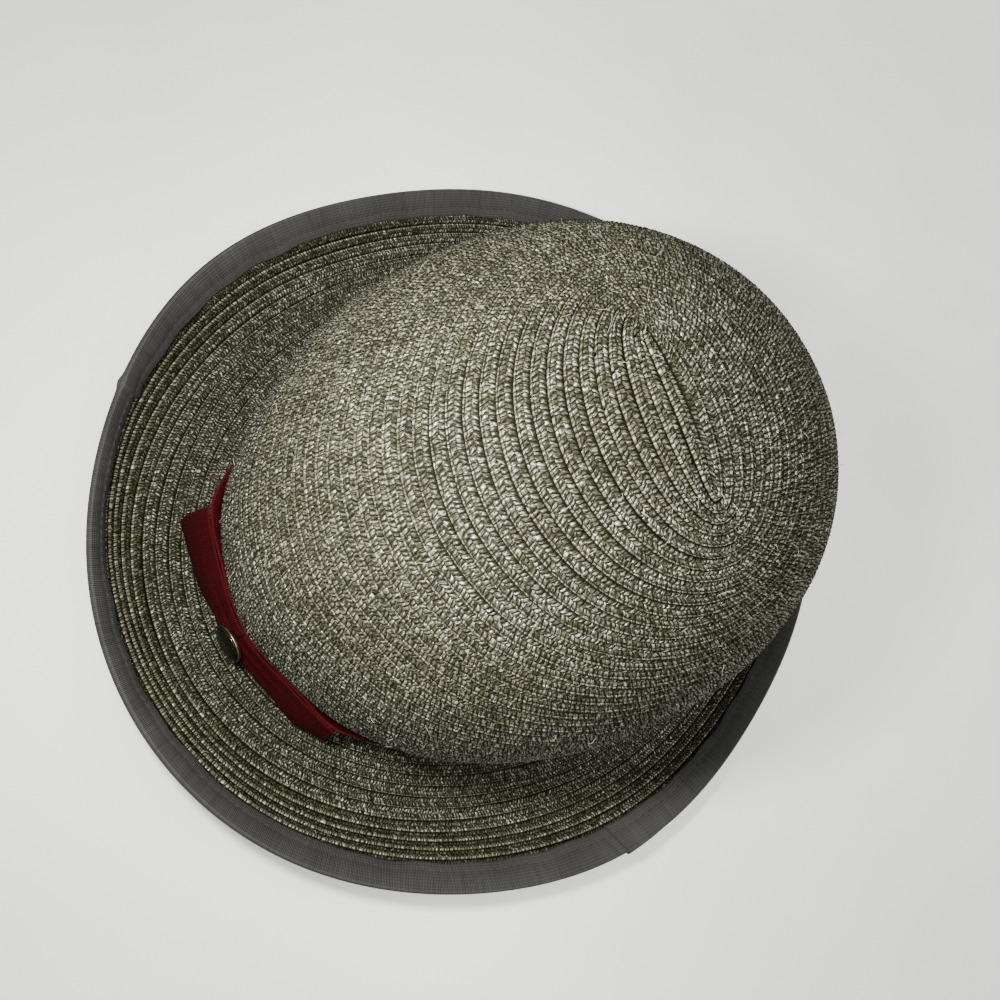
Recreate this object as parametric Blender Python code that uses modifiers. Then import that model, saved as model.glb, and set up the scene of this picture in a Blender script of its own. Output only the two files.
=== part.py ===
"""Round-crowned hat of sewn straw braid, with a rolled-up bound brim, a ribbon band and a bow.

Metres, +Z up. The hat stands on its brim, its front towards -Y and the bow behind, at +Y.
A turn is an angle round the hat: 0 is its left side at +X, 90 degrees is the back.
"""

from math import cos, degrees, pi, radians, sin, sqrt

import bpy
from mathutils import Vector

# Straw
STRAW_WALL = 0.0018
GAP = 0.0003                    # left between two pieces that touch

# Crown, measured on its outside
CROWN_HALF_WIDTH = 0.0800
CROWN_HALF_LENGTH = 0.0990
CROWN_HEIGHT = 0.1310           # tip above the floor
DOME_FOOT = 0.0300              # height of the widest level
DOME_FULLNESS = 1.97            # exponent of the dome's outline, 2 is an ellipse
START_HALF_LENGTH = 0.0180      # the braid starts along a line across the tip
START_DROP = 0.0025             # the ends of that line lie this much lower than its middle
CROWN_PINCH = 0.0010            # the wall draws in by this much under the band
SEAM_HEIGHT = 0.0100            # where crown and brim meet, hidden by the band

# Brim, measured on its underside at the sides, behind and in front
BRIM_REACH_SIDE = 0.0470
BRIM_REACH_BACK = 0.0345
BRIM_REACH_FRONT = 0.0390
ROLL_HEIGHT_SIDE = 0.0079       # how high the roll lifts the inner edge of the binding
ROLL_HEIGHT_BACK = 0.0178
ROLL_HEIGHT_FRONT = 0.0041
RIM_LEAN_SIDE = 32.0            # degrees that the rim leans out from upright
RIM_LEAN_BACK = 9.0
RIM_LEAN_FRONT = 28.0
REST_FROM = 0.36                # the brim lies flat between these shares of its reach
REST_TO = 0.56
ROOT_UPRIGHT = 0.0015           # the brim's inmost edge stands upright for this height
ROLL_FULLNESS = 0.60            # share of each way that the roll's handles take

# Ribbons
BINDING_WIDTH = 0.0124
BINDING_CLOTH = 0.0008
BAND_WIDTH = 0.0195
BAND_CLOTH = 0.0010
BOW_RIBBON = 0.0240
BOW_CLOTH = 0.0010
BOW_TURN = 95.0                 # degrees, where the bow is gathered
WING_TURN = 28.5                # degrees that each wing runs round the crown

# Button
BUTTON_DIAMETER = 0.0132
BUTTON_THICKNESS = 0.0022
BUTTON_DOME = 0.0008
BEZEL_WALL = 0.0006
BEZEL_HEIGHT = 0.0020
BUTTON_SEGMENTS = 24

# Divisions of the faceted skins
SEGMENTS = 60
DOME_STEPS = 14
WALL_STEPS = 2
ROOT_STEPS = 5
REST_STEPS = 2
ROLL_STEPS = 5
RIM_STEPS = 2
FOLD_STEPS = 3
WING_STEPS = 9
WING_ROWS = 4

# A bow wing from its gathered end to its tip. Columns: share of the way along the wing, then as
# shares of the ribbon the width that shows, and how far its top and its foot stand off the band
WING_SECTIONS = (
    (0.00, 0.64, 0.00, 0.15),
    (0.25, 0.80, 0.01, 0.27),
    (0.50, 0.92, 0.02, 0.39),
    (0.75, 1.00, 0.03, 0.46),
    (1.00, 1.00, 0.05, 0.51),
)
WING_BELLY = 0.05               # how far a wing's middle stands proud, as a share of the ribbon

# Distances out from the crown's wall to the outside of the band and of a wing against it
BAND_OUT = GAP + BAND_CLOTH
WING_OUT = BAND_OUT + GAP + BOW_CLOTH

# The crown stands this far behind the middle, so that the whole hat is centred on the origin
CROWN_BACK = (BRIM_REACH_FRONT - BRIM_REACH_BACK) / 2

# Colours, roughness and metallic value of each piece
FINISHES = {
    "crown": ((0.235, 0.235, 0.165), 0.75, 0.0),
    "brim": ((0.205, 0.215, 0.150), 0.75, 0.0),
    "edge_binding": ((0.165, 0.170, 0.168), 0.85, 0.0),
    "hat_band": ((0.150, 0.010, 0.018), 0.80, 0.0),
    "bow": ((0.170, 0.012, 0.020), 0.80, 0.0),
    "button": ((0.020, 0.018, 0.018), 0.30, 0.0),
    "button_rim": ((0.300, 0.190, 0.110), 0.35, 1.0),
}


def material(name):
    colour, roughness, metallic = FINISHES[name]
    made = bpy.data.materials.new(name)
    made.use_nodes = True
    shader = made.node_tree.nodes["Principled BSDF"]
    shader.inputs["Base Color"].default_value = (*colour, 1.0)
    shader.inputs["Roughness"].default_value = roughness
    shader.inputs["Metallic"].default_value = metallic
    return made


def around(side, back, front, turn):
    """Value that is side at both sides, back behind and front before, eased in between."""
    share = sin(turn)
    level = side * (1 - share ** 2) + (back + front) / 2 * share ** 2
    return level + (back - front) / 2 * share


def shares(steps):
    return [step / steps for step in range(steps + 1)]


def turns():
    return [2 * pi * step / SEGMENTS for step in range(SEGMENTS)]


def wall_draw(height):
    """How far the crown's upright wall has drawn in at a height under the dome."""
    return CROWN_PINCH * (DOME_FOOT - height) / (DOME_FOOT - SEAM_HEIGHT)


def beside_crown(turn, out, height):
    """Point at a distance out from the crown's wall and at a height."""
    draw = wall_draw(min(height, DOME_FOOT))
    x = (CROWN_HALF_WIDTH - draw + out) * cos(turn)
    y = (CROWN_HALF_LENGTH - draw + out) * sin(turn) + CROWN_BACK
    return Vector((x, y, height))


def brim_point(turn, out, height):
    """Point of the brim, whose ovals slide forward from the crown to the rim."""
    reach = around(BRIM_REACH_SIDE, BRIM_REACH_BACK, BRIM_REACH_FRONT, turn)
    side_out = out * BRIM_REACH_SIDE / reach
    mean_out = out * (BRIM_REACH_BACK + BRIM_REACH_FRONT) / 2 / reach
    x = (CROWN_HALF_WIDTH - CROWN_PINCH + side_out) * cos(turn)
    y = (CROWN_HALF_LENGTH - CROWN_PINCH + mean_out) * sin(turn)
    return Vector((x, y + CROWN_BACK * (1 - out / reach), height))


def bezier(start, start_handle, end_handle, end, share):
    left = 1 - share
    return (start * left ** 3 + start_handle * 3 * left ** 2 * share
            + end_handle * 3 * left * share ** 2 + end * share ** 3)


def rim_axes(turn):
    """The rim's direction up its slope, and the direction from its underside to its top."""
    lean = radians(around(RIM_LEAN_SIDE, RIM_LEAN_BACK, RIM_LEAN_FRONT, turn))
    return Vector((sin(lean), cos(lean))), Vector((-cos(lean), sin(lean)))


def rim_edge(turn):
    """Underside of the brim's edge, as distance out from the crown and height."""
    out = around(BRIM_REACH_SIDE, BRIM_REACH_BACK, BRIM_REACH_FRONT, turn)
    roll = around(ROLL_HEIGHT_SIDE, ROLL_HEIGHT_BACK, ROLL_HEIGHT_FRONT, turn)
    up, _ = rim_axes(turn)
    return Vector((out, roll + up.y * BINDING_WIDTH))


def brim_underside(turn):
    """Outline of the brim's underside from its edge in to the seam: rim, roll, rest and root."""
    edge = rim_edge(turn)
    up, _ = rim_axes(turn)
    bound = edge - up * BINDING_WIDTH
    rest_to = Vector((edge.x * REST_TO, 0.0))
    rest_from = Vector((edge.x * REST_FROM, 0.0))
    flat_handle = rest_to + Vector(((bound.x - rest_to.x) * ROLL_FULLNESS, 0.0))
    rim_handle = bound - up * (bound.y / up.y * ROLL_FULLNESS)
    outline = [edge.lerp(bound, share) for share in shares(RIM_STEPS)]
    for share in shares(ROLL_STEPS)[1:]:
        outline.append(bezier(bound, rim_handle, flat_handle, rest_to, share))
    for share in shares(REST_STEPS)[1:]:
        outline.append(rest_to.lerp(rest_from, share))
    seam = Vector((-STRAW_WALL, SEAM_HEIGHT - GAP))
    root = seam - Vector((0.0, ROOT_UPRIGHT))
    for share in shares(ROOT_STEPS)[1:]:
        swing = share * pi / 2
        out = rest_from.x + (root.x - rest_from.x) * sin(swing)
        outline.append(Vector((out, root.y * (1 - cos(swing)))))
    return outline + [seam]


def skin(name, columns, closed, finish, thickness, parent):
    """Sheet through columns of points, each from top to bottom on the outside, given a wall."""
    count = len(columns)
    rows = len(columns[0])
    points = [point for column in columns for point in column]
    faces = []
    for column in range(count if closed else count - 1):
        here = column * rows
        there = (column + 1) % count * rows
        for row in range(rows - 1):
            faces.append((here + row, here + row + 1, there + row + 1, there + row))
    mesh = bpy.data.meshes.new(name)
    mesh.from_pydata(points, [], faces)
    mesh.materials.append(finish)
    mesh.shade_smooth()
    made = bpy.data.objects.new(name, mesh)
    HAT.objects.link(made)
    made.parent = parent
    wall = made.modifiers.new("wall", "SOLIDIFY")
    wall.thickness = thickness
    wall.offset = -1.0
    wall.use_even_offset = True
    return made


def weld_before_wall(made):
    """Joins the points that the first oval folds together along the braid's start."""
    weld = made.modifiers.new("start_line", "WELD")
    weld.merge_threshold = 0.0001
    made.modifiers.move(1, 0)


def make_crown(finishes, parent):
    columns = []
    for turn in turns():
        column = []
        for share in shares(DOME_STEPS):
            swing = share * pi / 2
            spread = sin(swing) ** (2 / DOME_FULLNESS)
            rise = max(cos(swing), 0.0) ** (2 / DOME_FULLNESS)
            half_width = START_HALF_LENGTH + (CROWN_HALF_WIDTH - START_HALF_LENGTH) * spread
            x = half_width * cos(turn)
            y = CROWN_HALF_LENGTH * spread * sin(turn) + CROWN_BACK
            drop = START_DROP * cos(turn) ** 2 * (1 - spread)
            height = DOME_FOOT + (CROWN_HEIGHT - DOME_FOOT) * rise - drop
            column.append(Vector((x, y, height)))
        for share in shares(WALL_STEPS)[1:]:
            height = DOME_FOOT + (SEAM_HEIGHT - DOME_FOOT) * share
            column.append(beside_crown(turn, 0.0, height))
        columns.append(column)
    made = skin("crown", columns, True, finishes["crown"], STRAW_WALL, parent)
    weld_before_wall(made)


def make_brim(finishes, parent):
    columns = []
    for turn in turns():
        columns.append([brim_point(turn, spot.x, spot.y) for spot in brim_underside(turn)])
    skin("brim", columns, True, finishes["brim"], STRAW_WALL, parent)


def make_binding(finishes, parent):
    """Ribbon folded over the brim's edge, as wide above as below."""
    leg = BINDING_WIDTH - 2 * GAP
    cover = GAP + BINDING_CLOTH
    fold = STRAW_WALL / 2 + cover
    columns = []
    for turn in turns():
        edge = rim_edge(turn)
        up, to_top = rim_axes(turn)
        middle = edge + to_top * (STRAW_WALL / 2)
        outline = [middle + to_top * fold - up * leg]
        for share in shares(FOLD_STEPS):
            swing = share * pi
            outline.append(middle + to_top * (fold * cos(swing)) + up * (fold * sin(swing)))
        outline.append(middle - to_top * fold - up * leg)
        columns.append([brim_point(turn, spot.x, spot.y) for spot in outline])
    skin("edge_binding", columns, True, finishes["edge_binding"], BINDING_CLOTH, parent)


def make_band(finishes, parent):
    """Ribbon round the foot of the crown, its lower edge just over the seam."""
    foot = SEAM_HEIGHT - BAND_CLOTH
    top = foot + BAND_WIDTH
    columns = []
    for turn in turns():
        columns.append([beside_crown(turn, BAND_OUT, top), beside_crown(turn, BAND_OUT, foot)])
    skin("hat_band", columns, True, finishes["hat_band"], BAND_CLOTH, parent)


def wing_section(along):
    """Width that shows, top stand-off and foot stand-off at a share of a wing, in metres."""
    for low, high in zip(WING_SECTIONS, WING_SECTIONS[1:]):
        if along <= high[0]:
            break
    share = (along - low[0]) / (high[0] - low[0])
    return [BOW_RIBBON * (a + (b - a) * share) for a, b in zip(low[1:], high[1:])]


def wing_point(side, along, down):
    """Point of a wing: side is +1 for the wing on the hat's right, down runs from 0 to 1."""
    width, top_off, foot_off = wing_section(along)
    top = SEAM_HEIGHT - BAND_CLOTH + BAND_WIDTH - 2 * GAP
    drop = sqrt(width ** 2 - (foot_off - top_off) ** 2)
    belly = WING_BELLY * BOW_RIBBON * sin(pi * down)
    out = WING_OUT + top_off + (foot_off - top_off) * down + belly
    half_gap = degrees(GAP / 2 / CROWN_HALF_LENGTH)
    turn = radians(BOW_TURN + side * (half_gap + along * WING_TURN))
    return beside_crown(turn, out, top - drop * down)


def make_wing(name, side, finishes, parent):
    columns = []
    for along in shares(WING_STEPS):
        columns.append([wing_point(side, along, down) for down in shares(WING_ROWS)])
    if side < 0:
        columns.reverse()
    skin(name, columns, False, finishes["bow"], BOW_CLOTH, parent)


def button_seat(parent):
    """Empty on the gathered middle of the bow, its +Z pointing straight out from the cloth."""
    top = wing_point(1, 0.0, 0.0)
    foot = wing_point(1, 0.0, 1.0)
    middle = wing_point(1, 0.0, 0.5)
    round_crown = wing_point(1, 0.1, 0.5) - wing_point(-1, 0.1, 0.5)
    outward = (foot - top).cross(round_crown).normalized()
    reach = BUTTON_DIAMETER / 2 + GAP + BEZEL_WALL
    proud = 0.0
    for side in (1, -1):
        for along in shares(WING_STEPS * 4):
            for down in shares(WING_ROWS * 4):
                offset = wing_point(side, along, down) - middle
                height = offset.dot(outward)
                if (offset - outward * height).length < reach:
                    proud = max(proud, height)
    seat = bpy.data.objects.new("button_seat", None)
    HAT.objects.link(seat)
    seat.parent = parent
    seat.location = middle + outward * (proud + GAP)
    seat.rotation_mode = "QUATERNION"
    seat.rotation_quaternion = outward.to_track_quat("Z", "Y")
    return seat


def turned(name, profile, finish, parent):
    """Round piece from a profile of radius and height that runs down its outer side."""
    mesh = bpy.data.meshes.new(name)
    points = [(radius, 0.0, height) for radius, height in profile]
    mesh.from_pydata(points, [(i, i + 1) for i in range(len(points) - 1)], [])
    mesh.materials.append(finish)
    made = bpy.data.objects.new(name, mesh)
    HAT.objects.link(made)
    made.parent = parent
    screw = made.modifiers.new("turn", "SCREW")
    screw.steps = BUTTON_SEGMENTS
    screw.render_steps = BUTTON_SEGMENTS
    screw.use_merge_vertices = True
    screw.merge_threshold = 0.00001
    return made


def make_button(finishes, seat):
    radius = BUTTON_DIAMETER / 2
    shoulder = BUTTON_THICKNESS - BUTTON_DOME
    profile = [(0.0, BUTTON_THICKNESS)]
    for share in (0.35, 0.65, 0.88):
        profile.append((radius * share, shoulder + BUTTON_DOME * sqrt(1 - share ** 2)))
    profile += [(radius, shoulder), (radius, 0.0), (0.0, 0.0)]
    turned("button", profile, finishes["button"], seat)


def make_bezel(finishes, seat):
    """Thin metal ring round the button."""
    inner = BUTTON_DIAMETER / 2 + GAP
    outer = inner + BEZEL_WALL
    round_off = BEZEL_WALL / 3
    profile = [(inner, BEZEL_HEIGHT - round_off), (inner + round_off, BEZEL_HEIGHT),
               (outer - round_off, BEZEL_HEIGHT), (outer, BEZEL_HEIGHT - round_off),
               (outer, 0.0), (inner, 0.0), (inner, BEZEL_HEIGHT - round_off)]
    turned("button_rim", profile, finishes["button_rim"], seat)


for old in list(bpy.data.objects):
    bpy.data.objects.remove(old, do_unlink=True)

HAT = bpy.data.collections.new("straw_hat")
bpy.context.scene.collection.children.link(HAT)
MATERIALS = {name: material(name) for name in FINISHES}

hat = bpy.data.objects.new("hat", None)
HAT.objects.link(hat)
make_crown(MATERIALS, hat)
make_brim(MATERIALS, hat)
make_binding(MATERIALS, hat)
make_band(MATERIALS, hat)
make_wing("bow_wing_right", 1, MATERIALS, hat)
make_wing("bow_wing_left", -1, MATERIALS, hat)
knot = button_seat(hat)
make_button(MATERIALS, knot)
make_bezel(MATERIALS, knot)
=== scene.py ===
# Looks of the sewn straw hat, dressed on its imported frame. Metres, +Z up, the bow at +Y
import bpy
import numpy as np
from mathutils import Matrix, Vector


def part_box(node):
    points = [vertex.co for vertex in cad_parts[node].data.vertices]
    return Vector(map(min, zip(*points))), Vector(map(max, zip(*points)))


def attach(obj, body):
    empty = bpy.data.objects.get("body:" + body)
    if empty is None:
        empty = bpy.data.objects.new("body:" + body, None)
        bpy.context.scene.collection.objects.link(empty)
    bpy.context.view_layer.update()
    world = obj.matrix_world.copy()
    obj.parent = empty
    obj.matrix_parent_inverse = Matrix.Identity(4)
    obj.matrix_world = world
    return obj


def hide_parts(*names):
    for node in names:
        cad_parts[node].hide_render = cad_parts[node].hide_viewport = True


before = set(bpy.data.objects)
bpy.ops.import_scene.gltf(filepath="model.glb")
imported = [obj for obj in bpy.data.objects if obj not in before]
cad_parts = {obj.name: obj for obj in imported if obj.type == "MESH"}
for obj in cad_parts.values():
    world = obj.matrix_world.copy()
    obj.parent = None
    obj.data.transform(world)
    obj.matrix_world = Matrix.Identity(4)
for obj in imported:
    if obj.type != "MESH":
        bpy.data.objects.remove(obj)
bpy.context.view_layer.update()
chance = np.random.default_rng(46)

# Camera: nearly over the back of the crown, close to it, looking down
view = {
    "place": (-0.00833, 0.08068, 0.23988),
    "ahead": (0.05020, -0.32010, -0.94605),
    "right": (-0.37867, -0.88262, 0.27854),
    "up": (0.92417, -0.34426, 0.16552),
    "focalPixels": 638.4,       # for a picture 1000 pixels wide
    "pictureWidth": 1000,
    "sensor": 36.0,             # millimetres
    "nearest": 0.01,
}


def makeCamera():
    # three axes of the picture, put side by side as the camera's rotation. The lens is the sensor's
    # width times the focal length in pixels over the picture's width
    axes = Matrix((view["right"], view["up"], -Vector(view["ahead"]))).transposed().to_4x4()
    data = bpy.data.cameras.new("camera")
    data.sensor_width = view["sensor"]
    data.lens = view["sensor"] * view["focalPixels"] / view["pictureWidth"]
    data.clip_start = view["nearest"]
    camera = bpy.data.objects.new("camera", data)
    bpy.context.scene.collection.objects.link(camera)
    camera.matrix_world = Matrix.Translation(view["place"]) @ axes
    bpy.context.scene.camera = camera


makeCamera()
print("camera placed")

# Outline of the crown. Its width, length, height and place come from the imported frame
crownLow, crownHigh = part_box("crown")
crown = {
    "halfWidth": (crownHigh.x - crownLow.x) / 2,
    "halfLength": (crownHigh.y - crownLow.y) / 2,
    "back": (crownHigh.y + crownLow.y) / 2,
    "top": crownHigh.z,
    "seam": crownLow.z,
    "foot": 0.030,              # height of the widest level
    "fullness": 1.97,           # exponent of the dome's outline
    "startHalf": 0.018,         # half length of the line where the braid starts
    "startDrop": 0.0025,        # its ends lie lower than its middle by this
    "startSlide": (0.0010, -0.0032),    # the braid starts this far from the dome's middle
    "pinch": 0.001,             # the wall draws in by this much under the band
    "wall": 0.0018,
    "bendSpread": 12.0,         # degrees
    # where the worn crown is pressed in, just over the band: turn in degrees and depth in millimetres
    "bends": ((50, 2.2), (84, 1.2), (108, 2.8), (126, 1.0)),
}

# Outline of the brim at the sides, behind and in front
brim = {
    "reach": (0.0470, 0.0345, 0.0390),
    "roll": (0.0079, 0.0178, 0.0041),
    "lean": (32.0, 9.0, 28.0),  # degrees out from upright at the rim
    "restFrom": 0.36,           # the flat that it rests on, as shares of the reach
    "restTo": 0.56,
    "fullness": 0.60,           # how far the handles of the rolled curve reach
    "rootGap": 0.0003,          # below the crown's foot
    "rootUpright": 0.0015,
    "rim": 0.0124,              # straight part of the section, up to the straw's edge
    "bendSpread": 24.0,         # degrees
    # where the worn rim is bent: turn in degrees, pull outwards in millimetres, change of lean in degrees
    "bends": ((0, -0.6, -2), (30, 5.0, 0), (60, 0.9, -11), (90, 1.9, 3), (120, 1.9, 3),
              (150, 0.3, 4), (180, 3.7, 6), (205, -2.2, 3), (335, 1.0, 6)),
}

# The sewn braid: one long plait, lapped a little over itself at each round
plait = {
    "strand": 0.00113,          # length of the plait for each pair of strands
    "crownRounds": 49,
    "brimRounds": 16,
    "brimShown": 13.9,          # the last rounds lie under the binding
    "splits": (0, 30, 40.5, 49),  # the crown is kept in three meshes
    "brimSplits": (0, 7, 13.9),
    "across": (-0.10, 0.28, 0.47, 0.68, 0.83, 0.94, 1.02),
    "lift": (-0.90, -0.42, -0.50, -0.14, -0.30, 0.16, -0.80),   # millimetres from the true surface
    "ridge": (0.0, 0.19, 0.0, -0.19, 0.0, 0.08, 0.0),           # millimetres, turned round at each column
    "middle": 0.47,             # the two lanes of strands meet here, across the plait
    "lean": 0.55,               # strands run back by this many strands on each side of the middle
    "luck": (0.40, 0.10, 0.035),    # how far single strands stray: in lean, along and across
    "luckWithin": (0.1, 0.9),   # only the columns between these stray across
    "thickLuck": 0.35,
    "wander": 0.055,            # rows stray sideways by this share of a row
    "wanderWaves": ((0.011, 0.0173, 0.0291), 1.3),      # wave lengths over 2 pi, and phase
    "uneven": 0.00010,          # and up and down by this much
    "unevenWaves": ((0.0061, 0.0133, 0.0249), 2.1),
    "patternStep": 0.4,         # metres that the pattern moves on by for each round that a mesh starts at
    "brimPattern": 25.0,        # metres between the crown's pattern and the brim's
    "samples": 720,             # steps to a turn, where the way along the spiral is measured
    "levelSteps": 1200,
    "levelsPerRound": 8,
    "brimTurns": 145,
}


def around(values, turn):
    # side value at both sides, eased into the back value at +Y and the front value at -Y
    side, back, front = values
    share = np.sin(turn)
    return side * (1 - share ** 2) + (back + front) / 2 * share ** 2 + (back - front) / 2 * share


def waves(turn, table):
    # sum of sines round the hat, each with its height, its count and its phase
    return sum(height * np.sin(turn * count + phase) for height, count, phase in table)


def bell(far, half):
    # exp of minus the square of the distance over the half width
    return np.exp(-(far / half) ** 2)


def bent(part, turn, column):
    # sum of the bends' values, each times a bell round its place
    place, *values = np.array(part["bends"], float).T
    away = (np.degrees(turn)[..., None] - place + 180) % 360 - 180
    return bell(away, part["bendSpread"]) @ values[column]


def rimLean(turn):
    # lean of the rim: eased between the sides, the back and the front, plus what the bends add
    return np.radians(around(brim["lean"], turn) + bent(brim, turn, 1))


def pressed(turn, height):
    # how far the wall is pressed in: nothing at the seam, eased in up to the crown's foot
    share = np.clip((height - crown["seam"]) / (crown["foot"] - crown["seam"]), 0, 1)
    return bent(crown, turn, 0) * 0.001 * share ** 2 * (3 - 2 * share)


def crownPoint(level, turn):
    # superellipse dome round the start line, level 0 to 1: width and height are the sine and cosine of the
    # swing to the power 2 over the fullness. Then the upright wall down to the seam, level 1 to 2
    swing = np.clip(level, 0, 1) * np.pi / 2
    spread = np.sin(swing) ** (2 / crown["fullness"])
    rise = np.maximum(np.cos(swing), 0) ** (2 / crown["fullness"])
    below = np.clip(level - 1, 0, 1)
    wide = crown["startHalf"] + (crown["halfWidth"] - crown["startHalf"]) * spread
    drop = crown["startDrop"] * np.cos(turn) ** 2 * (1 - spread)
    z = crown["foot"] + (crown["top"] - crown["foot"]) * rise - drop - (crown["foot"] - crown["seam"]) * below
    inwards = crown["pinch"] * below + pressed(turn, z) * np.clip(level, 0, 1) ** 2
    x = (wide - inwards) * np.cos(turn)
    y = (crown["halfLength"] * spread - inwards) * np.sin(turn) + crown["back"]
    slide = (1 - spread) ** 2
    return np.stack([x + crown["startSlide"][0] * slide, y + crown["startSlide"][1] * slide, z], -1)


def brimPlan(turn, out, height):
    # point at a distance out from the crown's foot, on ovals that slide forward towards the rim
    reach = around(brim["reach"], turn)
    share = out / reach
    meanReach = (brim["reach"][1] + brim["reach"][2]) / 2
    pull = bent(brim, turn, 0) * 0.001 * share ** 2
    x = (crown["halfWidth"] - crown["pinch"] + share * brim["reach"][0] + pull) * np.cos(turn)
    y = (crown["halfLength"] - crown["pinch"] + share * meanReach + pull) * np.sin(turn)
    return np.stack([x, y + crown["back"] * (1 - share), height], -1)


def underside(level, turn):
    # outline under the brim by level: upright root 0 to 1, quarter ellipse to 2, flat to 3, rolled cubic
    # curve to 4, straight rim to 5
    out = around(brim["reach"], turn)
    lean = rimLean(turn)
    upOut, upHigh = np.sin(lean), np.cos(lean)
    boundOut = out - upOut * brim["rim"]
    boundHigh = around(brim["roll"], turn)
    restFrom, restTo = out * brim["restFrom"], out * brim["restTo"]
    rootHigh = crown["seam"] - brim["rootGap"] - brim["rootUpright"]
    step = np.clip(level, 0, 1)
    swing = np.clip(2 - level, 0, 1) * np.pi / 2
    rootOut = restFrom - (restFrom + crown["wall"]) * np.sin(swing)
    rootUp = rootHigh * (1 - np.cos(swing)) + brim["rootUpright"] * (1 - step)
    flat = np.clip(level - 2, 0, 1)
    bend = np.clip(level - 3, 0, 1)
    handle = restTo + (boundOut - restTo) * brim["fullness"]
    rimHandle = boundHigh * (1 - brim["fullness"])
    rimHandleOut = boundOut - upOut * boundHigh / upHigh * brim["fullness"]
    weights = [(1 - bend) ** 3, 3 * bend * (1 - bend) ** 2, 3 * bend ** 2 * (1 - bend), bend ** 3]
    rollOut = weights[0] * restTo + weights[1] * handle + weights[2] * rimHandleOut + weights[3] * boundOut
    rollUp = weights[2] * rimHandle + weights[3] * boundHigh
    rim = np.clip(level - 4, 0, 1) * brim["rim"]
    conditions = [level < 2, level < 3, level < 4]
    outs = [rootOut, restFrom + (restTo - restFrom) * flat, rollOut]
    ups = [rootUp, 0 * flat, rollUp]
    outs = np.select(conditions, outs, boundOut + upOut * rim)
    return outs, np.select(conditions, ups, boundHigh + upHigh * rim)


def brimPoint(level, turn):
    # top of the brim: the outline under it, moved square to itself by the straw's thickness
    near = 1e-3
    outA, upA = underside(level - near, turn)
    outB, upB = underside(level + near, turn)
    length = np.hypot(outB - outA, upB - upA) + 1e-12
    slopeOut, slopeUp = (outB - outA) / length, (upB - upA) / length
    out, up = underside(level, turn)
    return brimPlan(turn, out - slopeUp * crown["wall"], up + slopeOut * crown["wall"])


def facing(point, level, turn):
    # direction square to a surface, from the cross product of its two slopes
    near = 2e-3
    safe = np.maximum(level, 2 * near)
    down = point(safe + near, turn) - point(safe - near, turn)
    along = point(safe, turn + near) - point(safe, turn - near)
    square = np.cross(down, along)
    return square / (np.linalg.norm(square, axis=-1, keepdims=True) + 1e-15)


def roundsTable(point, levels, rounds, turnCount):
    # level of each round at each turn, so that the rounds are evenly spaced along the surface
    level = np.linspace(0, levels, plait["levelSteps"])
    turn = np.linspace(0, 2 * np.pi, turnCount)
    places = point(*np.meshgrid(level, turn, indexing="xy"))
    steps = np.linalg.norm(np.diff(places, axis=1), axis=-1)
    far = np.concatenate([np.zeros((turnCount, 1)), np.cumsum(steps, 1)], 1)
    shares = np.linspace(0, 1, rounds * plait["levelsPerRound"] + 1)
    return np.array([np.interp(shares, line / line[-1], level) for line in far])


def lookUp(table, share, turn):
    # value between the table's entries, straight between neighbours both ways
    rows = (np.mod(turn, 2 * np.pi) / (2 * np.pi)) * (table.shape[0] - 1)
    columns = np.clip(share, 0, 1) * (table.shape[1] - 1)
    row = np.minimum(rows.astype(int), table.shape[0] - 2)
    column = np.minimum(columns.astype(int), table.shape[1] - 2)
    a, b = rows - row, columns - column
    near = table[row, column] * (1 - b) + table[row, column + 1] * b
    far = table[row + 1, column] * (1 - b) + table[row + 1, column + 1] * b
    return near * (1 - a) + far * a


def backLine(level, turn):
    # the crown's outline down the middle of its back, whatever the turn
    return crownPoint(level, 0 * turn + np.pi / 2)


# The dome's rounds are ovals at one level, spaced by the way down its back
crownLevels = roundsTable(backLine, 2, plait["crownRounds"], 2)
brimLevels = roundsTable(brimPoint, 5, plait["brimRounds"], plait["brimTurns"])


def crownRow(row, turn):
    # a row before the first lies on the other side of the start line
    flip = np.where(row < 0, -turn, turn)
    return lookUp(crownLevels, np.abs(row) / plait["crownRounds"], flip), flip


def brimRow(row, turn):
    # a row of the brim lies at the level that its table gives at that turn
    return lookUp(brimLevels, row / plait["brimRounds"], turn), turn


def stray(far, lengths, phase):
    # slow unevenness: a sum of sines whose wave lengths have no common measure
    return sum(np.sin(far / wave + phase * (k + 1)) for k, wave in enumerate(lengths)) / len(lengths)


def meshObject(name, points, faces, finish, uv=None, tips=(), closing=None):
    # puts whole arrays of points, four-sided faces and three-sided tips into a smooth mesh at the origin.
    # closing is the count of points in a row and how far u has grown when the last row meets the first
    tips = np.array(tips, int).reshape(-1, 3)
    corners = np.concatenate([faces.ravel(), tips.ravel()])
    starts = np.concatenate([np.arange(0, faces.size, 4), faces.size + np.arange(0, tips.size, 3)])
    mesh = bpy.data.meshes.new(name)
    mesh.vertices.add(len(points))
    mesh.vertices.foreach_set("co", np.ascontiguousarray(points, np.float32).ravel())
    mesh.loops.add(len(corners))
    mesh.loops.foreach_set("vertex_index", np.ascontiguousarray(corners, np.int32))
    mesh.polygons.add(len(starts))
    mesh.polygons.foreach_set("loop_start", np.ascontiguousarray(starts, np.int32))
    mesh.polygons.foreach_set("use_smooth", np.ones(len(starts), bool))
    if uv is not None:
        layer = mesh.uv_layers.new(name="weave")
        places = uv[corners]
        if closing:
            width, length = closing
            band = np.arange(faces.size - 4 * width, faces.size)
            places[band[corners[band] < width], 0] += length
        layer.data.foreach_set("uv", np.ascontiguousarray(places, np.float32).ravel())
    mesh.update(calc_edges=True)
    mesh.validate()
    mesh.materials.append(finish)
    made = bpy.data.objects.new(name, mesh)
    bpy.context.scene.collection.objects.link(made)
    return made


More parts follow.
